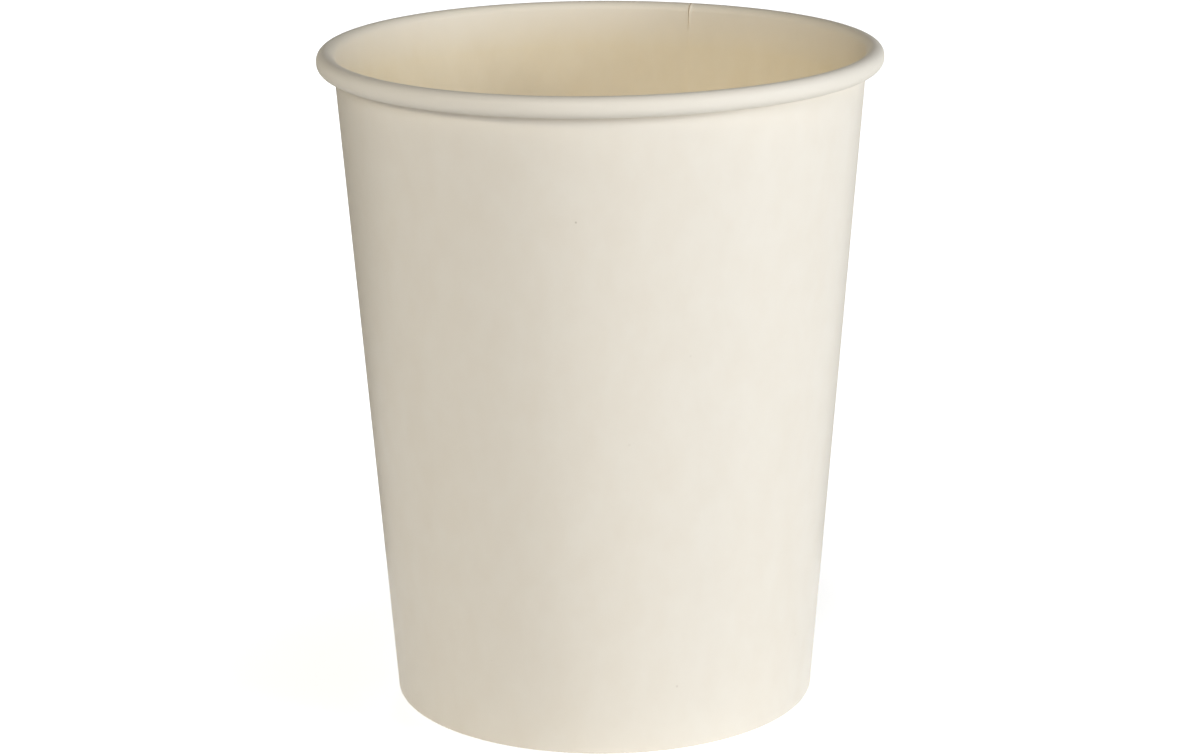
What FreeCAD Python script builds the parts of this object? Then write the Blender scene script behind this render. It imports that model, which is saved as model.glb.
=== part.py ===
"""A paper soup cup that holds 32 US fluid ounces, made of two pieces of coated board.

The sidewall is one blank: wrapped into a cone, lapped and sealed to itself down the side seam, rolled
outwards into a curl at the rim, and folded inwards and up at the foot. The base disc is dished: its edge
is turned down into a skirt, which the folded foot grips.

Units are millimetres and degrees. The origin is the centre of the foot at table height, and +Z is up.
The side seam is at the back, at SEAM_AZIMUTH from +X.
"""

import FreeCAD, Part
import math
import os

# Overall sizes
RIM_DIAMETER = 115.0  # outside of the curl, which a lid is pressed down over
FOOT_DIAMETER = 87.6  # outside of the cone, carried down to the table
HEIGHT = 136.5  # table to the top of the curl

# Board
WALL_BOARD = 0.40  # thickness of the sidewall's board
BASE_BOARD = 0.32  # thickness of the base disc's board
SEAL_FILM = 0.02  # room for the melted coating that seals the skirt to the wall on each face

# Rim curl
CURL_WIDTH = 3.8  # outside of the roll, across
CURL_STRETCH = 0.4  # how much taller the roll is than it is wide
CURL_TURN = 390.0  # how far the board turns, so its edge ends tucked inside the roll
CURL_TUCK_GAP = 0.05  # between the tucked turn and the outside of the wall

# Side seam
SEAM_AZIMUTH = 68.7  # where the blank's inner edge shows inside the cup
SEAM_LAP = 9.0  # width of the sealed lap, measured at the rim
JOGGLE = 1.6  # length over which the board steps out by its own thickness, measured at the rim

# Foot
RECESS_DEPTH = 9.5  # table to the underside of the base disc
FOLD_BEND = 0.05  # inside radius of the two creases of the foot's fold
FLAP_END_GAP = 0.6  # from the top of the folded flap to the bend of the base disc
SKIRT_EDGE_GAP = 0.4  # from the lower edge of the skirt to the board below it
BASE_BEND = 0.9  # outside radius of the bend between the disc and its skirt

# Worked out from the sizes above
CURL_RADIUS = CURL_WIDTH / 2
CURL_CENTRE = (RIM_DIAMETER / 2 - CURL_RADIUS, HEIGHT - CURL_RADIUS)
FOOT_CORNER = (FOOT_DIAMETER / 2, 0.0)
LAYERS_AT_SEAM = 2
FLAP_GRIP = BASE_BOARD + 2 * SEAL_FILM  # room between the wall and the folded flap
LAP_ANGLE = math.degrees(SEAM_LAP / (RIM_DIAMETER / 2))
JOGGLE_ANGLE = math.degrees(JOGGLE / (RIM_DIAMETER / 2))


def cone_angle():
    """Half angle of the cone, from the foot's corner to the line that the curl is rolled from."""
    run = CURL_CENTRE[0] - FOOT_CORNER[0]
    rise = CURL_CENTRE[1] - FOOT_CORNER[1]
    to_wall = CURL_RADIUS - WALL_BOARD
    return math.degrees(math.atan2(run, rise) - math.asin(to_wall / math.hypot(run, rise)))


TAPER = cone_angle()
COS_TAPER = math.cos(math.radians(TAPER))
SIN_TAPER = math.sin(math.radians(TAPER))
TAN_TAPER = math.tan(math.radians(TAPER))
INNER_RADIUS_AT_TABLE = FOOT_DIAMETER / 2 - WALL_BOARD / COS_TAPER


def wall_inner_radius(z):
    """Radius of the wall's inner face at height z."""
    return INNER_RADIUS_AT_TABLE + z * TAN_TAPER


def flap_top():
    """Height of the folded flap's edge, which stops short of the base disc's bend."""
    return RECESS_DEPTH + BASE_BOARD - BASE_BEND - FLAP_END_GAP


def skirt_bottom():
    """Height of the skirt's lower edge, clear of the two layers folded under it at the seam."""
    return LAYERS_AT_SEAM * WALL_BOARD + SKIRT_EDGE_GAP


# A path is a start point (radius, height), a heading in degrees from the radial direction, and moves.
# A move is ("line", length) or ("arc", radius, turn), where a positive turn is to the left.


def end_of_line(point, heading, length):
    """The point at that distance along the heading."""
    angle = math.radians(heading)
    return point[0] + length * math.cos(angle), point[1] + length * math.sin(angle)


def to_vector(point):
    """A point of the section as a vector in the XZ plane."""
    return FreeCAD.Vector(point[0], 0.0, point[1])


def path_edges(path, offset):
    """Edges of the line that runs parallel to the path, offset to its right."""
    start, heading, moves = path
    point = end_of_line(start, heading - 90.0, offset)
    edges = []
    for move in moves:
        if move[0] == "line":
            after = end_of_line(point, heading, move[1])
            edges.append(Part.LineSegment(to_vector(point), to_vector(after)).toShape())
        else:
            side = math.copysign(1.0, move[2])
            radius = move[1] + side * offset
            centre = end_of_line(point, heading + side * 90.0, radius)
            halfway = end_of_line(centre, heading - side * 90.0 + move[2] / 2, radius)
            heading += move[2]
            after = end_of_line(centre, heading - side * 90.0, radius)
            arc = Part.Arc(to_vector(point), to_vector(halfway), to_vector(after))
            edges.append(arc.toShape())
        point = after
    return edges


def band(path, inner_offset, outer_offset):
    """Closed wire round the board that lies between two offsets of a path."""
    inner = path_edges(path, inner_offset)
    outer = path_edges(path, outer_offset)
    ends = [
        Part.LineSegment(inner[0].firstVertex(True).Point, outer[0].firstVertex(True).Point),
        Part.LineSegment(inner[-1].lastVertex(True).Point, outer[-1].lastVertex(True).Point),
    ]
    return Part.Wire(Part.__sortEdges__(inner + outer + [end.toShape() for end in ends]))


def sidewall_path(layers):
    """The blank's inner face, from the edge of the flap round the fold, up the wall and round the curl.

    Where the blank is lapped there are two layers, and the fold and the tucked turn make room for both.
    """
    stack = layers * WALL_BOARD
    flap_turn = 90.0 + TAPER
    wall_turn = 90.0 - TAPER
    flap_tangent = FOLD_BEND * math.tan(math.radians(flap_turn / 2))
    wall_tangent = FOLD_BEND * math.tan(math.radians(wall_turn / 2))
    wall_corner = (wall_inner_radius(stack), stack)
    land = FLAP_GRIP / COS_TAPER - flap_tangent - wall_tangent
    flap = (flap_top() - stack) / COS_TAPER
    flap_end = (
        wall_corner[0] - FLAP_GRIP / COS_TAPER + flap * SIN_TAPER,
        stack + flap * COS_TAPER,
    )
    curl_start = (
        CURL_CENTRE[0] - CURL_RADIUS * COS_TAPER,
        CURL_CENTRE[1] + CURL_RADIUS * SIN_TAPER,
    )
    wall = (curl_start[1] - stack) / COS_TAPER - wall_tangent
    lean = CURL_STRETCH * SIN_TAPER
    tucked_radius = CURL_RADIUS - (stack + CURL_TUCK_GAP - lean) / (1.0 + SIN_TAPER)
    moves = [
        ("line", flap - flap_tangent),
        ("arc", FOLD_BEND, flap_turn),
        ("line", land),
        ("arc", FOLD_BEND, wall_turn),
        ("line", wall),
        ("arc", CURL_RADIUS, TAPER - 180.0),
        ("line", CURL_STRETCH),
        ("arc", CURL_RADIUS, -90.0),
        ("arc", tucked_radius, 270.0 - TAPER - CURL_TURN),
    ]
    return flap_end, -90.0 - TAPER, moves


def turned(shape, azimuth):
    """A copy of the shape, turned about the cup's axis."""
    copy = shape.copy()
    copy.rotate(FreeCAD.Vector(0, 0, 0), FreeCAD.Vector(0, 0, 1), azimuth)
    return copy


def revolved(wire, start, sweep):
    """Solid swept by a section wire from azimuth start through an angle."""
    section = Part.Face(turned(wire, start))
    return section.revolve(FreeCAD.Vector(0, 0, 0), FreeCAD.Vector(0, 0, 1), sweep)


def blended(wire_a, azimuth_a, wire_b, azimuth_b):
    """Solid whose section changes from one wire to another between two azimuths."""
    return Part.makeLoft([turned(wire_a, azimuth_a), turned(wire_b, azimuth_b)], True, True)


def make_sidewall():
    """The wrapped blank, sealed to itself where it laps.

    Going round by rising azimuth: from the outer lap's cut edge the two laps lie together as far as the
    inner lap's cut edge, the outer lap then steps in to the plain board, and the plain board goes round to
    become the inner lap, which is lifted at the foot by the layer folded under it.
    """
    single = sidewall_path(1)
    double = sidewall_path(LAYERS_AT_SEAM)
    plain_board = band(single, 0.0, WALL_BOARD)
    inner_lap = band(double, 0.0, WALL_BOARD)
    outer_lap = band(double, WALL_BOARD, LAYERS_AT_SEAM * WALL_BOARD)
    both_laps = band(double, 0.0, LAYERS_AT_SEAM * WALL_BOARD)
    lap_end = SEAM_AZIMUTH - LAP_ANGLE
    plain_start = SEAM_AZIMUTH + JOGGLE_ANGLE
    plain_end = lap_end - JOGGLE_ANGLE + 360.0
    lapped = revolved(both_laps, lap_end, LAP_ANGLE)
    stepped_out = blended(outer_lap, SEAM_AZIMUTH, plain_board, plain_start)
    plain = revolved(plain_board, plain_start, plain_end - plain_start)
    settled = blended(plain_board, lap_end - JOGGLE_ANGLE, inner_lap, lap_end)
    return lapped.fuse([stepped_out, plain, settled])


def base_disc_path():
    """The base disc's upper face, from its centre outwards and down the skirt."""
    upper = RECESS_DEPTH + BASE_BOARD
    turn = 90.0 + TAPER
    tangent = BASE_BEND * math.tan(math.radians(turn / 2))
    corner_radius = wall_inner_radius(upper) - SEAL_FILM / COS_TAPER
    skirt = (upper - skirt_bottom()) / COS_TAPER - tangent
    moves = [
        ("line", corner_radius - tangent),
        ("arc", BASE_BEND, -turn),
        ("line", skirt),
    ]
    return (0.0, upper), 0.0, moves


def make_base_disc():
    """The dished disc, which closes the cup above its foot."""
    return revolved(band(base_disc_path(), 0.0, BASE_BOARD), 0.0, 360.0)


def brimful_capacity():
    """Volume inside the cup, from the base disc to the top of the curl, in millilitres."""
    floor = RECESS_DEPTH + BASE_BOARD
    low = wall_inner_radius(floor)
    high = wall_inner_radius(HEIGHT)
    cubic_millimetres = math.pi * (HEIGHT - floor) * (low**2 + low * high + high**2) / 3
    return cubic_millimetres / 1000


def main():
    os.makedirs("parts", exist_ok=True)
    for node, make in (("sidewall", make_sidewall), ("base_disc", make_base_disc)):
        shape = make()
        box = shape.optimalBoundingBox()
        print(
            f"{node}: solids {len(shape.Solids)}, valid {shape.isValid()}, volume {shape.Volume:.1f} mm3,"
            f" box {box.XLength:.2f} x {box.YLength:.2f} x {box.ZLength:.2f} mm, lowest {box.ZMin:.3f} mm"
        )
        shape.exportStep(f"parts/{node}.step")
    print(f"brimful capacity {brimful_capacity():.0f} ml, half angle of the cone {TAPER:.2f} degrees")


main()
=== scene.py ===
# %% [markdown]
# # A paper soup cup
#
# This lesson models a take-away soup cup the way it is made. One blank of coated board is wrapped into a
# cone, lapped and sealed down its side, rolled over at the rim, and folded in at the foot, where it grips a
# dished disc of board. The cup has no other part and no print, so all that the eye has to go on is how the
# board is bent and how light lies on its cream coating. The lesson spends its effort on those two things.
#
# The imported model comes first. It is the frame that the pieces made here keep to.

# %% Load the frame
import math

import bmesh
import bpy
from mathutils import Matrix, Quaternion, Vector, noise


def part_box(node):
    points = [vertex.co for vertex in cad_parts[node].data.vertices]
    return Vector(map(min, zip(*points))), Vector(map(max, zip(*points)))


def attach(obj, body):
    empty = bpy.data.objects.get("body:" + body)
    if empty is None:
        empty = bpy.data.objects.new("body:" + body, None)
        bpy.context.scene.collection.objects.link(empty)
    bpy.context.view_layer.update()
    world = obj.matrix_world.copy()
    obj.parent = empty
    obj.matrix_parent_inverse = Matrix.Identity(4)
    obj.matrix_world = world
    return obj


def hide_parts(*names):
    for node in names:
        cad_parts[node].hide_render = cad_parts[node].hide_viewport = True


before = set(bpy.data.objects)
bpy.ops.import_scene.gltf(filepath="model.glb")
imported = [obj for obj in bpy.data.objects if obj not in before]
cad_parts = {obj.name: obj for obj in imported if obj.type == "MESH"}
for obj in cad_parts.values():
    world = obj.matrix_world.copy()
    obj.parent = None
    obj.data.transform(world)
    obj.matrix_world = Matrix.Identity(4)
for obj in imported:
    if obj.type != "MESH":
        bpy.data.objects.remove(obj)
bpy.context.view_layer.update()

# %% [markdown]
# ## Sizes
#
# Blender works in metres and a cup maker in millimetres, so each size is a number of millimetres times MM.
# What the frame can say is read from it: the rim's radius, the height, and where the base disc lies. The
# foot's radius is hidden in a box by the wider rim, and the board's thickness, its bends and the seam don't
# show in one either, so these are named here.

# %% Sizes from the frame, and the board's own
MM = 0.001
wall_low, wall_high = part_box("sidewall")
disc_low, disc_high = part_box("base_disc")

RIM_RADIUS = (wall_high.x - wall_low.x) / 2
HEIGHT = wall_high.z
DISC_TOP = disc_high.z
SKIRT_BOTTOM = disc_low.z
FOOT_RADIUS = 43.8 * MM

WALL_BOARD = 0.40 * MM
BASE_BOARD = 0.32 * MM
SEAL_FILM = 0.02 * MM

CURL_RADIUS = 1.9 * MM
CURL_STRETCH = 0.4 * MM
CURL_TURN = 390.0
CURL_TUCK_GAP = 0.05 * MM

SEAM_AZIMUTH = 68.7
LAP_ANGLE = 8.97
JOGGLE_ANGLE = 1.59

FOLD_BEND = 0.05 * MM
BASE_BEND = 0.9 * MM
FLAP_END_GAP = 0.6 * MM
FLAP_TOP = DISC_TOP - BASE_BEND - FLAP_END_GAP

curl_centre = Vector((RIM_RADIUS - CURL_RADIUS, 0, HEIGHT - CURL_RADIUS))
run = curl_centre.x - FOOT_RADIUS
wall_to_centre = CURL_RADIUS - WALL_BOARD
lean = math.atan2(run, curl_centre.z) - math.asin(wall_to_centre / math.hypot(run, curl_centre.z))
TAPER = math.degrees(lean)
COS_TAPER, SIN_TAPER, TAN_TAPER = math.cos(lean), math.sin(lean), math.tan(lean)
print(f"rim radius {RIM_RADIUS / MM:.2f} mm, height {HEIGHT / MM:.2f} mm, wall leans out {TAPER:.2f} degrees")

# %% [markdown]
# ## Bending a strip of board
#
# Cut the cup in half, and the board shows as a narrow strip that runs down the flap, round the fold, up the
# wall and round the curl. A Solidify modifier on a single line would pinch at the fold, where the bend is
# far tighter than the board is thick. So the strip is bent the way the machine bends it. It starts as one
# short edge across the board. That edge is pushed along each straight run with extrude, and turned round the
# centre of each bend with spin, so the two faces of the board stay parallel by themselves. Each vertex
# carries which side of the board it is on, and its place in the strip, and both are copied as it is spun.


# %% Push and bend a strip
def heading_vector(degrees):
    """Unit vector in the section's plane, in degrees from the radial direction towards up."""
    angle = math.radians(degrees)
    return Vector((math.cos(angle), 0, math.sin(angle)))


def only(kind, parts):
    """The parts of one kind, such as the vertices, of what an operator gave back."""
    return [part for part in parts if isinstance(part, kind)]


def push(bm, edge, travel, steps):
    """Carries the strip's end edge straight on, in equal steps, and returns the new end edge."""
    for _ in range(steps):
        made = bmesh.ops.extrude_edge_only(bm, edges=[edge])["geom"]
        moved = only(bmesh.types.BMVert, made)
        bmesh.ops.translate(bm, verts=moved, vec=travel / steps)
        edge = bm.edges.get(moved)
    return edge


def bend(bm, edge, centre, turn, steps):
    """Turns the strip's end edge round a centre, and returns the new end edge."""
    made = bmesh.ops.spin(
        bm,
        geom=[*edge.verts, edge],
        cent=centre,
        axis=(0, -1, 0),
        angle=math.radians(turn),
        steps=steps,
        use_merge=False,
    )
    return only(bmesh.types.BMEdge, made["geom_last"])[0]


def bent_strip(start, heading, moves, near, far):
    """A strip of board whose faces lie at two distances to the right of a path.

    A move is (None, length, steps) for a straight run, or (radius, turn, steps) for a bend.
    """
    bm = bmesh.new()
    print_side = bm.verts.layers.int.new("print_side")
    right = heading_vector(heading - 90)
    edge = bm.edges.new([bm.verts.new(start + right * near), bm.verts.new(start + right * far)])
    edge.verts[1][print_side] = 1
    point = start
    for radius, amount, steps in moves:
        if radius is None:
            travel = heading_vector(heading) * amount
            edge = push(bm, edge, travel, steps)
            point = point + travel
        else:
            centre = point + heading_vector(heading + math.copysign(90, amount)) * radius
            edge = bend(bm, edge, centre, amount, steps)
            point = centre + Matrix.Rotation(math.radians(amount), 3, (0, -1, 0)) @ (point - centre)
            heading += amount
    row = bm.verts.layers.int.new("row")
    for k, vert in enumerate(bm.verts):
        vert[row] = k
    return bm


# %% [markdown]
# ## The blank's strip
#
# The moves follow the board from the flap's edge to the end of the curl. At the side seam the board lies
# double, so there the fold sits deeper, and the roll's tucked turn is tighter to make room. The same moves
# with another number of layers, and another distance from the path, give the inner and the outer lap.


# %% The blank, as it lies in the cup
FLAP_GRIP = (BASE_BOARD + 2 * SEAL_FILM) / COS_TAPER


def wall_radius(z):
    """Radius of the wall's inner face at height z."""
    return FOOT_RADIUS - WALL_BOARD / COS_TAPER + z * TAN_TAPER


def blank_strip(layers, near):
    """The blank where so many layers lie together, with its food side at a distance from the path."""
    stack = layers * WALL_BOARD + (layers - 1) * SEAL_FILM
    flap_bend, wall_bend = 90 + TAPER, 90 - TAPER
    flap_cut = FOLD_BEND * math.tan(math.radians(flap_bend / 2))
    wall_cut = FOLD_BEND * math.tan(math.radians(wall_bend / 2))
    flap_length = (FLAP_TOP - stack) / COS_TAPER
    flap_foot = Vector((wall_radius(stack) - FLAP_GRIP, 0, stack))
    wall_length = (curl_centre.z + CURL_RADIUS * SIN_TAPER - stack) / COS_TAPER - wall_cut
    tuck_room = stack + CURL_TUCK_GAP - CURL_STRETCH * SIN_TAPER
    moves = [
        (None, flap_length - flap_cut, 8),
        (FOLD_BEND, flap_bend, 5),
        (None, FLAP_GRIP - flap_cut - wall_cut, 1),
        (FOLD_BEND, wall_bend, 5),
        (None, wall_length, 34),
        (CURL_RADIUS, TAPER - 180, 24),
        (None, CURL_STRETCH, 1),
        (CURL_RADIUS, -90, 12),
        (CURL_RADIUS - tuck_room / (1 + SIN_TAPER), 270 - TAPER - CURL_TURN, 8),
    ]
    start = flap_foot + heading_vector(90 - TAPER) * flap_length
    return bent_strip(start, -90 - TAPER, moves, near, near + WALL_BOARD)


def places(bm):
    """Where the strip's vertices are, in the order of their rows."""
    return [vert.co.copy() for vert in bm.verts]


blank = blank_strip(2, WALL_BOARD + SEAL_FILM)
outer_lap = places(blank)
inner_lap = places(blank_strip(2, 0))
single = places(blank_strip(1, 0))
print(f"{len(single)} vertices along the strip, which ends inside the curl at {single[-1].z / MM:.1f} mm")

# %% [markdown]
# ## Wrapping the blank
#
# A full spin would leave no seam, and the seam is what tells the eye that a cup is wrapped board. The real
# blank goes once round and nine degrees more. Its inner end lies inside the cup, and its outer end lies on
# the inner one. Between them it is plain wall, and the step from one to the other is what sheet-metal
# workers call a joggle. So the strip is spun a stretch at a time, and along some stretches it changes from
# one shape to the next: each new ring is moved to where the board lies at that angle. Spinning a strip's
# faces makes a solid whose two cut ends are closed.


# %% Spin a strip, and change its shape on the way
def turn(bm, ring, sweep, steps):
    """Spins the strip about the cup's axis, and returns the strip at the far end."""
    made = bmesh.ops.spin(
        bm,
        geom=ring,
        cent=(0, 0, 0),
        axis=(0, 0, 1),
        angle=math.radians(sweep),
        steps=steps,
        use_merge=False,
    )
    return made["geom_last"]


def ramp(value, low, high):
    """A smooth share from 0 at the low value to 1 at the high one."""
    share = min(max((value - low) / (high - low), 0), 1)
    return share * share * (3 - 2 * share)


def change(bm, ring, azimuth, sweep, steps, before, after):
    """Spins the strip step by step, while it changes from one shape to another."""
    row = bm.verts.layers.int["row"]
    for i in range(1, steps + 1):
        ring = turn(bm, ring, sweep / steps, 1)
        changed = ramp(i, 0, steps)
        to_azimuth = Matrix.Rotation(math.radians(azimuth + sweep * (i / steps)), 3, "Z")
        for vert in only(bmesh.types.BMVert, ring):
            k = vert[row]
            vert.co = to_azimuth @ before[k].lerp(after[k], changed)
    return ring


# %% [markdown]
# The seam is pressed between a hard mandrel inside the cup and hot bars outside it. So the inside stays
# flush: the inner lap gets thinner towards its edge, and the outer lap follows it inwards. A little melt is
# pushed out and leaves a low lip along the edge. The bars end short of the rim. There the edge keeps its
# thickness and springs up, and a narrow slit stays open between it and the outer lap, which shows as a dark
# nick in the rim. Above the base disc the squeeze and the lip come up over a few millimetres, so that the
# foot's fold keeps its shape.

# %% The lap's free edge
EDGE_ANGLE, LIP_ANGLE = 2.0, 0.5
SQUEEZE = 0.62
LIP, SPRING = 0.06 * MM, 0.12 * MM
BARS_END = HEIGHT - 7 * MM
BARS_FADE = 5 * MM
SPRUNG_FROM = HEIGHT - 2 * MM
DISC_FADE = 6 * MM
ROLL_INSIDE = RIM_RADIUS - 1.8 * CURL_RADIUS


def pressed(place):
    """How much of the bars' squeeze a place gets."""
    above_disc = ramp(place.z, DISC_TOP, DISC_TOP + DISC_FADE)
    return SQUEEZE * above_disc * ramp(place.z, BARS_END + BARS_FADE, BARS_END)


def lip_height(place):
    """How far the lap's edge stands up at a place."""
    above_disc = ramp(place.z, DISC_TOP, DISC_TOP + DISC_FADE)
    inside_roll = ramp(place.x, RIM_RADIUS - CURL_RADIUS, ROLL_INSIDE)
    return above_disc * inside_roll * (LIP + (SPRING - LIP) * ramp(place.z, BARS_END, SPRUNG_FROM))


one_mm_up = places(blank_strip(2, -MM))
on_print_side = [vert[blank.verts.layers.int["print_side"]] for vert in blank.verts]
thin_edge = [
    place + (up - place) * (print_side * pressed(place) * WALL_BOARD / MM)
    for place, up, print_side in zip(inner_lap, one_mm_up, on_print_side)
]
free_edge = [
    thin + (up - place) * (lip_height(place) / MM)
    for thin, up, place in zip(thin_edge, one_mm_up, inner_lap)
]
outer_pressed = [outer.lerp(inner, pressed(inner)) for outer, inner in zip(outer_lap, inner_lap)]

# %% [markdown]
# The rings are set so that the slit is 0.3 mm wide on the roll, where the outer lap then comes up to the
# cup's line at once. Along the wall it takes its time.

# %% Wrap the blank into the cup
SLIT_ANGLE, SLIT_END_ANGLE = 0.3, 0.06
RISE_ANGLE = 3.0
PLAIN_ANGLE = 360 - LAP_ANGLE - SLIT_ANGLE - SLIT_END_ANGLE - RISE_ANGLE - JOGGLE_ANGLE
PLAIN_STEPS = 290
LAP_START = SEAM_AZIMUTH - LAP_ANGLE
SLIT_END = SEAM_AZIMUTH + SLIT_ANGLE

after_slit = [
    low.lerp(high, ramp(high.z, BARS_END, SPRUNG_FROM))
    for low, high in zip(outer_pressed, single)
]
to_lap_start = Matrix.Rotation(math.radians(LAP_START), 3, "Z")
bmesh.ops.rotate(blank, verts=blank.verts, cent=(0, 0, 0), matrix=to_lap_start)
ring = turn(blank, [*blank.verts, *blank.edges, *blank.faces], LAP_ANGLE - EDGE_ANGLE, 6)
ring = change(blank, ring, SEAM_AZIMUTH - EDGE_ANGLE, EDGE_ANGLE, 4, outer_lap, outer_pressed)
ring = turn(blank, ring, SLIT_ANGLE, 2)
ring = change(blank, ring, SLIT_END, SLIT_END_ANGLE, 1, outer_pressed, after_slit)
ring = change(blank, ring, SLIT_END + SLIT_END_ANGLE, RISE_ANGLE, 6, after_slit, single)
ring = turn(blank, ring, PLAIN_ANGLE, PLAIN_STEPS)
ring = change(blank, ring, LAP_START - JOGGLE_ANGLE, JOGGLE_ANGLE, 6, single, inner_lap)
ring = turn(blank, ring, LAP_ANGLE - EDGE_ANGLE - LIP_ANGLE, 5)
ring = change(blank, ring, SEAM_AZIMUTH - EDGE_ANGLE - LIP_ANGLE, EDGE_ANGLE, 4, inner_lap, thin_edge)
last_ring = change(blank, ring, SEAM_AZIMUTH - LIP_ANGLE, LIP_ANGLE, 4, thin_edge, free_edge)
bmesh.ops.recalc_face_normals(blank, faces=blank.faces)
print(f"{len(blank.verts)} vertices, volume of board {blank.calc_volume() / MM**3:.0f} cubic mm")

# %% [markdown]
# ## What the machine leaves behind
#
# A perfect cone looks like plastic. A few small faults make it board. A toothed wheel presses the flap on to
# the base disc, and leaves a knurl of upright dents round the inside of the foot. The lap's cut edge isn't
# quite straight. The wall isn't quite round, so light runs down it in faint streaks. And the rim isn't quite
# level. All of them are moved in the mesh, because a bump map would change neither the outline nor the
# shadow that an edge throws.

# %% Knurl, wandering cut, and small unevenness
KNURL_DEPTH = 0.07 * MM
KNURL_HALF_PITCH = PLAIN_ANGLE / PLAIN_STEPS
KNURL_LOW, KNURL_HIGH = 2.0 * MM, 7.8 * MM
CUT_WANDER = 0.12 * MM
CUT_WANDER_LENGTH = 9 * MM
RIM_TILT = 0.14 * MM
RIM_TWIST = 0.14 * MM
WALL_WAVE = 0.10 * MM
WAVE_WIDTH = 17 * MM
WAVE_HEIGHT = 150 * MM


def radial(place):
    """Unit vector from the cup's axis towards a place."""
    return Vector((place.x, place.y, 0)).normalized()


def on_flap_face(place):
    """Whether a place is on the flap's face that looks at the axis, where the knurling wheel runs."""
    flap_face = wall_radius(place.z) - FLAP_GRIP - WALL_BOARD
    reach = math.hypot(place.x, place.y) - flap_face
    return KNURL_LOW < place.z < KNURL_HIGH and reach < WALL_BOARD / 2


def uneven(place):
    """Where a place on a perfect cup lies on this one."""
    level = min(max(place.z / HEIGHT, 0), 1)
    wave = noise.noise(Vector((place.x / WAVE_WIDTH, place.y / WAVE_WIDTH, place.z / WAVE_HEIGHT)))
    out = radial(place)
    held = math.sin(math.pi * level)
    lift = (RIM_TILT * out.x - 2 * RIM_TWIST * out.x * out.y) * level**3
    return place + out * (WALL_WAVE * wave * held) + Vector((0, 0, lift))


for vert in only(bmesh.types.BMVert, last_ring):
    along_rim = Vector((0, 0, 1)).cross(radial(vert.co))
    wander = noise.noise(Vector((0, 0, vert.co.z / CUT_WANDER_LENGTH)))
    vert.co += along_rim * (CUT_WANDER * wander)
dents = 0
for vert in blank.verts:
    azimuth = math.degrees(math.atan2(vert.co.y, vert.co.x))
    if on_flap_face(vert.co) and round(azimuth / KNURL_HALF_PITCH) % 2:
        vert.co += radial(vert.co) * KNURL_DEPTH
        dents += 1
    vert.co = uneven(vert.co)
print(f"{dents} vertices pressed in by the knurl, every {2 * KNURL_HALF_PITCH:.1f} degrees")

# %% [markdown]
# ## The base disc
#
# The base is a punched disc whose edge is drawn down into a skirt. Its strip runs from the axis outwards,
# round the bend and down. This one does go full circle, so its outline alone is spun, with use_merge to join
# the last turn to the first, and the ring of vertices on the axis is merged into one at the pole. Drawing a
# flat disc into a skirt leaves more board than there is room for, which shows as fine pleats in the bend. The
# middle sinks by a hair under the mandrel that presses it in.

# %% Make the base disc
SKIRT_BEND = 90 + TAPER
PLEATS = 90
STEPS_PER_PLEAT = 4
PLEAT_DEPTH = 0.06 * MM
PLEAT_REACH = 3 * MM
PLEAT_LOW, PLEAT_HIGH = DISC_TOP - 1.5 * BASE_BEND, DISC_TOP - 0.8 * BASE_BEND
SINK = 0.25 * MM
LEVEL_MARGIN = 4 * MM
ON_AXIS = 1e-9
MERGE_DISTANCE = 0.001 * MM

corner_radius = wall_radius(DISC_TOP) - SEAL_FILM / COS_TAPER
bend_cut = BASE_BEND * math.tan(math.radians(SKIRT_BEND / 2))
skirt_length = (DISC_TOP - SKIRT_BOTTOM) / COS_TAPER - bend_cut
disc_moves = [
    (None, corner_radius - bend_cut, 24),
    (BASE_BEND, -SKIRT_BEND, 8),
    (None, skirt_length, 6),
]
disc = bent_strip(Vector((0, 0, DISC_TOP)), 0, disc_moves, 0, BASE_BOARD)
on_axis = [edge for edge in disc.edges if all(abs(vert.co.x) < ON_AXIS for vert in edge.verts)]
rungs = [edge for edge in disc.edges if not edge.is_boundary]
bmesh.ops.delete(disc, geom=on_axis + rungs, context="EDGES_FACES")
bmesh.ops.spin(
    disc,
    geom=[*disc.verts, *disc.edges],
    cent=(0, 0, 0),
    axis=(0, 0, 1),
    angle=math.tau,
    steps=PLEATS * STEPS_PER_PLEAT,
    use_merge=True,
)
bmesh.ops.remove_doubles(disc, verts=disc.verts, dist=MERGE_DISTANCE)
bmesh.ops.recalc_face_normals(disc, faces=disc.faces)

for vert in disc.verts:
    reach = math.hypot(vert.co.x, vert.co.y)
    azimuth = math.atan2(vert.co.y, vert.co.x)
    in_bend = ramp(reach, corner_radius - PLEAT_REACH, corner_radius - BASE_BEND)
    in_bend *= ramp(vert.co.z, PLEAT_LOW, PLEAT_HIGH)
    fold = PLEAT_DEPTH * in_bend * (1 + math.cos(PLEATS * azimuth)) / 2
    sink = SINK * max(0, 1 - (reach / (corner_radius - LEVEL_MARGIN)) ** 2) ** 2
    vert.co -= radial(vert.co) * fold + Vector((0, 0, fold + sink))
print(f"{len(disc.verts)} vertices, disc of radius {corner_radius / MM:.1f} mm at {DISC_TOP / MM:.2f} mm")

# %% [markdown]
# ## Objects
#
# The two meshes become objects at the origin. A face whose corners all lie on one side of the board is
# coated, and a face with corners on both sides is a raw cut. The finishes are numbered to match: 0 is the
# food side, 1 the print side and 2 a raw cut. The food side of the blank turns outwards over the roll, and
# there its skin is stretched and goes milky, so each vertex also carries how far that has gone. The same
# value fades out over the first ten millimetres of the wall, where it is painted light: it whitens the inside
# just below the rim, where light falls straight in. Shading is smooth, and broken only where faces meet at
# more than 40 degrees, which is at the cuts.

# %% Make the objects
RAW_CUT = 2
SHARP_ANGLE = math.radians(40)
# How strong the painted rim light below the roll is, and the heights over which it fades in.
PAINTED_RIM_LIGHT = 0.75
PAINTED_RIM_LIGHT_LOW, PAINTED_RIM_LIGHT_HIGH = HEIGHT - 10 * MM, HEIGHT - 2 * MM


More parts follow.
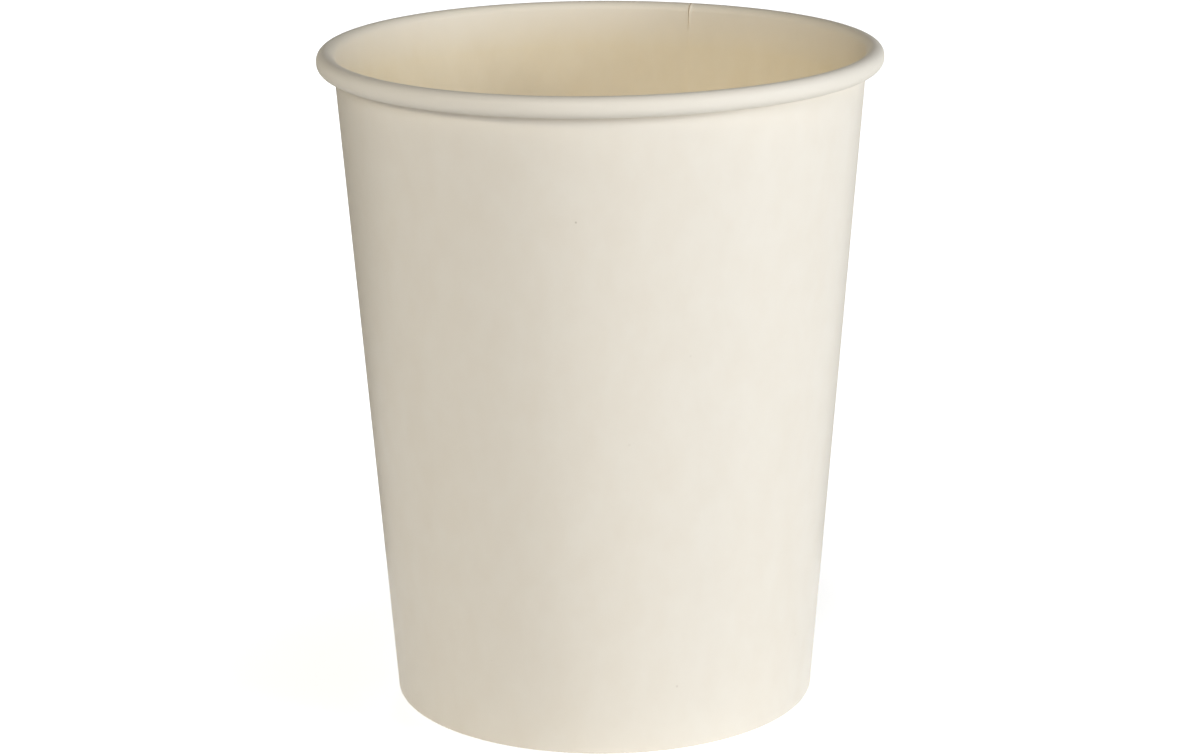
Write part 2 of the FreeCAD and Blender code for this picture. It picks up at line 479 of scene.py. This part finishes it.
def mark_sides(bm):
    """Gives each face the finish of its side of the board, and each vertex its stretch and its painted rim
    light.
    """
    print_side = bm.verts.layers.int["print_side"]
    milky_and_rim_lit = bm.verts.layers.float.new("milky_and_rim_lit")
    for vert in bm.verts:
        reach = math.hypot(vert.co.x, vert.co.y)
        on_roll = ramp(reach, RIM_RADIUS - 2 * CURL_RADIUS, RIM_RADIUS - CURL_RADIUS)
        # Painted rim light: the top of the wall takes the stretched skin's whiter cream, which lights the
        # inside just below the rim.
        painted_rim_light = PAINTED_RIM_LIGHT * ramp(vert.co.z, PAINTED_RIM_LIGHT_LOW, PAINTED_RIM_LIGHT_HIGH)
        vert[milky_and_rim_lit] = max(on_roll, painted_rim_light)
    for face in bm.faces:
        sides = {vert[print_side] for vert in face.verts}
        face.material_index = RAW_CUT if len(sides) == 2 else sides.pop()
        face.smooth = True
    return sum(face.material_index == RAW_CUT for face in bm.faces)


def make_object(name, bm):
    """Turns a bmesh into an object at the origin."""
    mesh = bpy.data.meshes.new(name)
    bm.to_mesh(mesh)
    bm.free()
    mesh.set_sharp_from_angle(angle=SHARP_ANGLE)
    made = bpy.data.objects.new(name, mesh)
    bpy.context.scene.collection.objects.link(made)
    return made


print("raw cut faces", mark_sides(blank), mark_sides(disc))
cup_wall = make_object("wrapped_blank", blank)
cup_base = make_object("dished_base", disc)

# %% [markdown]
# ## Node helpers
#
# Colours are written as the eye reads them, in sRGB hex, and turned to the linear values that the shader
# counts in. One function adds any node. A node can have several sockets of one name, of which the editor
# shows the ones in use, so the function looks among those.


# %% Colours and nodes
def linear(hex_colour):
    """Linear RGBA of an sRGB hex colour."""
    channels = [int(hex_colour[i : i + 2], 16) / 255 for i in (0, 2, 4)]
    return [c / 12.92 if c <= 0.04045 else ((c + 0.055) / 1.055) ** 2.4 for c in channels] + [1]


def add_node(tree, kind, output=None, settings=None, values=None, links=None):
    """Adds a node, with its settings and its sockets' values and links, and returns the named output."""
    made = tree.nodes.new(kind)
    for name, value in (settings or {}).items():
        setattr(made, name, value)
    shown = {socket.name: socket for socket in made.inputs if socket.enabled}
    for name, value in (values or {}).items():
        shown[name].default_value = value
    for name, source in (links or {}).items():
        tree.links.new(source, shown[name])
    return next((socket for socket in made.outputs if socket.enabled and socket.name == output), None)


def empty_material(name):
    """A material with no nodes yet, and its node tree."""
    material = bpy.data.materials.new(name)
    material.use_nodes = True
    material.node_tree.nodes.clear()
    return material, material.node_tree


# %% [markdown]
# ## Coated cup board
#
# Cup stock is solid bleached board. Its food side has a skin of polyethylene melted on to it, and its print
# side has a smooth coat of clay, which is whiter. The food side's cream is painted a shade yellower, and that
# yellow is painted light: it stands in for the warm light that bounces about inside the cup. Under both the
# pulp is faintly cloudy, in blotches a few millimetres across that are drawn out along the grain, and here
# and there a dark speck of bark got into it. Skin and coat follow the fibres, so they shine softly, and a
# touch unevenly. Over the roll the skin is stretched, which turns it milky and matt. The inside of the wall
# just below the roll takes the same whiter cream as painted light, for the light that falls straight in
# there.
#
# Noise in the object's own coordinates gives the clouds, stretched upwards because cups are cut with the
# grain upright. A Voronoi texture gives the specks: a dot is drawn wherever the surface passes close enough
# to the point in the middle of a cell. One function makes both sides. It takes two creams for the clouds,
# and the one that a stretched skin turns to, which is also painted on below the roll as rim light.

# %% The board's finish
# The food side's two creams are yellower than the print side's: painted light, for the warm light bounced
# inside the cup.
FOOD_BOUNCE_TINTED_CREAM, FOOD_BOUNCE_TINTED_CREAM_DEEP = "faefd5", "f7ebcf"
PRINT_CREAM, PRINT_CREAM_DEEP = "f7f1e6", "f5eee2"
SPECK = "8f7f66"
CLOUD_SIZE = 5 * MM
FIBRE_SIZE = 0.45 * MM
FIBRE_DEPTH = 0.008 * MM
SPECK_SPACING = 12.5 * MM
SPECK_RADIUS = 0.36 * MM
SPECK_FAINT, SPECK_STRONG = 0.08, 0.65
SPECK_CORE = 0.4 * SPECK_RADIUS
WEAK_UP_TO, STRONG_FROM = 0.4, 0.8
NOISE_LOW, NOISE_HIGH = 0.3, 0.7
GRAIN_STRETCH = 0.6
SKIN_IOR = 1.5
SMOOTH_ROUGHNESS, CLOUDY_ROUGHNESS, STRETCHED_ROUGHNESS = 0.42, 0.50, 0.6


def coated_board(name, cream, cream_deep, milky_and_rim_lit_cream):
    """Board with a thin smooth coat, which turns from one cream to another where it is stretched, and where
    rim light is painted.
    """
    material, tree = empty_material(name)
    place = add_node(tree, "ShaderNodeTexCoord", "Object")
    milky_and_rim_lit = add_node(tree, "ShaderNodeAttribute", "Fac", settings={"attribute_name": "milky_and_rim_lit"})
    grain = add_node(
        tree,
        "ShaderNodeMapping",
        "Vector",
        values={"Scale": (1, 1, GRAIN_STRETCH)},
        links={"Vector": place},
    )
    clouds = add_node(
        tree,
        "ShaderNodeTexNoise",
        "Fac",
        values={"Scale": 1 / CLOUD_SIZE, "Detail": 3, "Roughness": 0.55},
        links={"Vector": grain},
    )
    fibres = add_node(
        tree,
        "ShaderNodeTexNoise",
        "Fac",
        values={"Scale": 1 / FIBRE_SIZE, "Detail": 3, "Roughness": 0.6},
        links={"Vector": grain},
    )
    cloud_share = add_node(
        tree,
        "ShaderNodeMapRange",
        "Result",
        values={"From Min": NOISE_LOW, "From Max": NOISE_HIGH},
        links={"Value": clouds},
    )
    pulp = add_node(
        tree,
        "ShaderNodeMix",
        "Result",
        settings={"data_type": "RGBA"},
        values={"A": linear(cream), "B": linear(cream_deep)},
        links={"Factor": cloud_share},
    )
    stretched_and_rim_lit = add_node(
        tree,
        "ShaderNodeMix",
        "Result",
        settings={"data_type": "RGBA"},
        values={"B": linear(milky_and_rim_lit_cream)},
        links={"Factor": milky_and_rim_lit, "A": pulp},
    )
    to_speck = add_node(
        tree,
        "ShaderNodeTexVoronoi",
        "Distance",
        values={"Scale": 1 / SPECK_SPACING},
        links={"Vector": place},
    )
    speck_share = add_node(
        tree,
        "ShaderNodeMapRange",
        "Result",
        values={"From Min": SPECK_RADIUS / SPECK_SPACING, "From Max": SPECK_CORE / SPECK_SPACING},
        links={"Value": to_speck},
    )
    which_speck = add_node(
        tree,
        "ShaderNodeTexVoronoi",
        "Color",
        values={"Scale": 1 / SPECK_SPACING},
        links={"Vector": place},
    )
    speck_strength = add_node(
        tree,
        "ShaderNodeMapRange",
        "Result",
        values={
            "From Min": WEAK_UP_TO,
            "From Max": STRONG_FROM,
            "To Min": SPECK_FAINT,
            "To Max": SPECK_STRONG,
        },
        links={"Value": which_speck},
    )
    speck = add_node(
        tree,
        "ShaderNodeMix",
        "Result",
        values={"A": 0},
        links={"Factor": speck_share, "B": speck_strength},
    )
    colour = add_node(
        tree,
        "ShaderNodeMix",
        "Result",
        settings={"data_type": "RGBA"},
        values={"B": linear(SPECK)},
        links={"Factor": speck, "A": stretched_and_rim_lit},
    )
    flat_roughness = add_node(
        tree,
        "ShaderNodeMapRange",
        "Result",
        values={
            "From Min": NOISE_LOW,
            "From Max": NOISE_HIGH,
            "To Min": SMOOTH_ROUGHNESS,
            "To Max": CLOUDY_ROUGHNESS,
        },
        links={"Value": clouds},
    )
    roughness = add_node(
        tree,
        "ShaderNodeMix",
        "Result",
        values={"B": STRETCHED_ROUGHNESS},
        links={"Factor": milky_and_rim_lit, "A": flat_roughness},
    )
    relief = add_node(
        tree,
        "ShaderNodeBump",
        "Normal",
        values={"Strength": 1, "Distance": FIBRE_DEPTH},
        links={"Height": fibres},
    )
    board = add_node(
        tree,
        "ShaderNodeBsdfPrincipled",
        "BSDF",
        values={"IOR": SKIN_IOR},
        links={"Base Color": colour, "Roughness": roughness, "Normal": relief},
    )
    add_node(tree, "ShaderNodeOutputMaterial", links={"Surface": board})
    return material


# %% [markdown]
# ## Raw cut board
#
# Where the board is cut there is no skin, only pressed pulp. It is matt, a shade deeper, and fuzzy: the
# fibres stand out of the cut by a few hundredths of a millimetre.

# %% The cut edge's finish
PULP = "e6dac3"
FUZZ_HEIGHT = 0.03 * MM
FUZZ_SIZE = 0.12 * MM


def raw_cut(name):
    """Pulp, as it shows on a cut edge."""
    material, tree = empty_material(name)
    place = add_node(tree, "ShaderNodeTexCoord", "Object")
    fuzz = add_node(
        tree,
        "ShaderNodeTexNoise",
        "Fac",
        values={"Scale": 1 / FUZZ_SIZE, "Detail": 2},
        links={"Vector": place},
    )
    relief = add_node(
        tree,
        "ShaderNodeBump",
        "Normal",
        values={"Strength": 1, "Distance": FUZZ_HEIGHT},
        links={"Height": fuzz},
    )
    pulp = add_node(
        tree,
        "ShaderNodeBsdfPrincipled",
        "BSDF",
        values={"Base Color": linear(PULP), "Roughness": 0.95, "IOR": SKIN_IOR},
        links={"Normal": relief},
    )
    add_node(tree, "ShaderNodeOutputMaterial", links={"Surface": pulp})
    return material


finishes = [
    coated_board("polyethylene_coated_board", FOOD_BOUNCE_TINTED_CREAM, FOOD_BOUNCE_TINTED_CREAM_DEEP, PRINT_CREAM),
    coated_board("clay_coated_board", PRINT_CREAM, PRINT_CREAM_DEEP, PRINT_CREAM),
    raw_cut("raw_cut_board"),
]
for piece in (cup_wall, cup_base):
    for finish in finishes:
        piece.data.materials.append(finish)
print("finishes", [material.name for material in cup_wall.data.materials])

# %% [markdown]
# ## Joining the frame
#
# The two pieces stand for the two imported parts, which are then hidden. Both belong to the one body that the
# cup has.

# %% Stand for the imported parts
for piece, node_name, slot_name in (
    (cup_wall, "sidewall", "sidewall_board"),
    (cup_base, "base_disc", "base_board"),
):
    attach(piece, "root")
    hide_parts(node_name)

# %% [markdown]
# ## A white studio
#
# The cup stands on a plain pale floor in front of nothing. To the camera, and in reflections, floor and world
# are white, which Light Path tells apart from the light that they shed on the cup. Near the cup the floor
# glows a little less, so that it still takes the cup's shadow.

# %% Floor and world
FLOOR_HALF = 3.0
FLOOR_WHITE = "f5f6f8"
WORLD_LIGHT = 0.015
NEAR_GLOW, FAR_GLOW = 0.6, 1.0
GLOW_FROM, GLOW_TO = 50 * MM, 170 * MM


def seen_directly(tree):
    """1 for what the camera, a reflection or a transparent body sees, and 0 for light that spreads."""
    seen = None
    for kind in ("Is Transmission Ray", "Is Glossy Ray", "Is Camera Ray"):
        this_kind = add_node(tree, "ShaderNodeLightPath", kind)
        links = {"Factor": this_kind} if seen is None else {"Factor": this_kind, "A": seen}
        seen = add_node(tree, "ShaderNodeMix", "Result", values={"B": 1}, links=links)
    return seen


world = bpy.data.worlds.new("white_studio")
bpy.context.scene.world = world
world.use_nodes = True
world.node_tree.nodes.clear()
world_colour = add_node(
    world.node_tree,
    "ShaderNodeMix",
    "Result",
    settings={"data_type": "RGBA"},
    values={"A": [WORLD_LIGHT] * 3 + [1], "B": [1, 1, 1, 1]},
    links={"Factor": seen_directly(world.node_tree)},
)
sky = add_node(world.node_tree, "ShaderNodeBackground", "Background", links={"Color": world_colour})
add_node(world.node_tree, "ShaderNodeOutputWorld", links={"Surface": sky})

floor_bm = bmesh.new()
bmesh.ops.create_grid(floor_bm, x_segments=1, y_segments=1, size=FLOOR_HALF)
floor_mesh = bpy.data.meshes.new("floor")
floor_bm.to_mesh(floor_mesh)
floor_bm.free()
floor = bpy.data.objects.new("floor", floor_mesh)
bpy.context.scene.collection.objects.link(floor)

floor_finish, tree = empty_material("white_studio_floor")
from_cup = add_node(
    tree,
    "ShaderNodeVectorMath",
    "Value",
    settings={"operation": "LENGTH"},
    links={"Vector": add_node(tree, "ShaderNodeTexCoord", "Object")},
)
glow = add_node(
    tree,
    "ShaderNodeMapRange",
    "Result",
    settings={"interpolation_type": "SMOOTHSTEP"},
    values={"From Min": GLOW_FROM, "From Max": GLOW_TO, "To Min": NEAR_GLOW, "To Max": FAR_GLOW},
    links={"Value": from_cup},
)
seen_glow = add_node(
    tree,
    "ShaderNodeMix",
    "Result",
    values={"A": 0},
    links={"Factor": seen_directly(tree), "B": glow},
)
paint = add_node(
    tree,
    "ShaderNodeBsdfPrincipled",
    "BSDF",
    values={
        "Base Color": linear(FLOOR_WHITE),
        "Roughness": 0.9,
        "Specular IOR Level": 0.2,
        "Emission Color": [1, 1, 1, 1],
    },
    links={"Emission Strength": seen_glow},
)
add_node(tree, "ShaderNodeOutputMaterial", links={"Surface": paint})
floor.data.materials.append(floor_finish)

# %% [markdown]
# ## Dark cards for the reflections
#
# A pale cup in a white room loses its outline, because the smooth board mirrors the white behind it where the
# eye meets it at a flat angle. Black card stood there turns the cup's edges a shade darker.
# One card stands close behind the cup. The other stands further off, behind and to the left, where the wall's
# upper part mirrors it and the lower part still mirrors the floor. Only reflections see the cards. Each row
# holds a card's name, direction from the cup in degrees, distance and half width. Direction 0 is the camera's
# side, and 90 is to its right.

# %% Black cards
CARD_BLACK = "141414"
CARD_HALF_HEIGHT = 600 * MM
CARDS = [
    ("black_card_behind", 180, 66 * MM, 100 * MM),
    ("black_card_left", -140, 250 * MM, 160 * MM),
]


def black_card(name, direction, distance, half_width):
    """An upright black card that faces the cup."""
    bm = bmesh.new()
    bmesh.ops.create_grid(bm, x_segments=1, y_segments=1, size=1)
    bmesh.ops.scale(bm, verts=bm.verts, vec=(half_width, CARD_HALF_HEIGHT, 1))
    bmesh.ops.translate(bm, verts=bm.verts, vec=(0, 0, distance))
    upright = Matrix.Rotation(math.radians(90), 3, "X")
    to_direction = Matrix.Rotation(math.radians(direction), 3, "Z")
    bmesh.ops.rotate(bm, verts=bm.verts, cent=(0, 0, 0), matrix=to_direction @ upright)
    return make_object(name, bm)


card_finish, tree = empty_material("black_card")
black = add_node(
    tree,
    "ShaderNodeBsdfPrincipled",
    "BSDF",
    values={"Base Color": linear(CARD_BLACK), "Roughness": 1, "Specular IOR Level": 0},
)
add_node(tree, "ShaderNodeOutputMaterial", links={"Surface": black})
for card in [black_card(*values) for values in CARDS]:
    card.visible_camera = False
    card.visible_diffuse = False
    card.visible_shadow = False
    card.data.materials.append(card_finish)
    corners = [[round(c / MM) for c in vert.co] for vert in card.data.vertices]
    print(card.name, "from", corners[0], "to", corners[-1], "mm")

# %% [markdown]
# ## Soft boxes
#
# Three soft boxes light the front: a strong one far round to the right, one beside the camera, and a weak
# warm one to the left. The right one stands nearer, so that its light fades a little across the cup. The
# others stand well back, so that theirs is as strong at the foot as at the rim. The fourth stands low behind
# the cup and lights its back. It gives no highlight, because its raking shine would whiten the top of the
# roll. Each row holds a lamp's name, its direction and elevation in degrees, its distance and size in metres,
# its watts and its colour.

# %% Lamps
CUP_MIDDLE = Vector((0, 0, HEIGHT / 2))
LAMPS = [
    ("front", -10, 28, 6.0, 2.0, 125, "ffffff"),
    ("right", 67, 11, 2.5, 1.0, 34.4, "fdffff"),
    ("left", -60, 28, 6.0, 1.0, 61, "fff1cd"),
    ("back", 180, 5, 6.0, 1.2, 216, "ffffff"),
]


def soft_box(name, direction, elevation, distance, size, watts, colour):
    """A square area lamp that faces the cup."""
    lamp = bpy.data.lights.new(name, "AREA")
    lamp.shape = "SQUARE"
    lamp.size = size
    lamp.energy = watts
    lamp.color = linear(colour)[:3]
    box = bpy.data.objects.new(name, lamp)
    bpy.context.scene.collection.objects.link(box)
    turn_to, rise = math.radians(direction), math.radians(elevation)
    away = Vector((math.sin(turn_to) * math.cos(rise), -math.cos(turn_to) * math.cos(rise), math.sin(rise)))
    box.location = CUP_MIDDLE + away * distance
    box.rotation_mode = "QUATERNION"
    box.rotation_quaternion = away.to_track_quat("Z", "Y")
    return box


boxes = {lamp[0]: soft_box(*lamp) for lamp in LAMPS}
boxes["back"].visible_glossy = False
print("lamps", list(boxes))

# %% [markdown]
# ## Camera
#
# A long lens, from about five cup heights away, looks down into the cup by sixteen degrees. The camera leans
# over by less than half a degree, as a hand-levelled one does. A pale cup is a bright well: light bounces in
# it many times before it leaves, and gets yellower each time, so more diffuse bounces are kept than usual.

# %% Camera
LENS, SENSOR_WIDTH = 99.24, 36
AIM = Vector((-0.53, 0, 66.44)) * MM
VIEW_DISTANCE = 689.4 * MM
BOUNCES_IN_CUP = 10
VIEW_SIDE, VIEW_DOWN, VIEW_ROLL = math.radians(0.046), math.radians(15.656), math.radians(-0.439)

camera_data = bpy.data.cameras.new("camera")
camera_data.lens = LENS
camera_data.sensor_width = SENSOR_WIDTH
camera = bpy.data.objects.new("camera", camera_data)
bpy.context.scene.collection.objects.link(camera)
back = Vector(
    (
        math.sin(VIEW_SIDE) * math.cos(VIEW_DOWN),
        -math.cos(VIEW_SIDE) * math.cos(VIEW_DOWN),
        math.sin(VIEW_DOWN),
    )
)
camera.location = AIM + back * VIEW_DISTANCE
camera.rotation_mode = "QUATERNION"
camera.rotation_quaternion = (-back).to_track_quat("-Z", "Y") @ Quaternion((0, 0, 1), VIEW_ROLL)
bpy.context.scene.camera = camera
bpy.context.scene.view_settings.view_transform = "Standard"
bpy.context.scene.cycles.diffuse_bounces = BOUNCES_IN_CUP
print("camera at", [round(c / MM, 1) for c in camera.location], "mm")
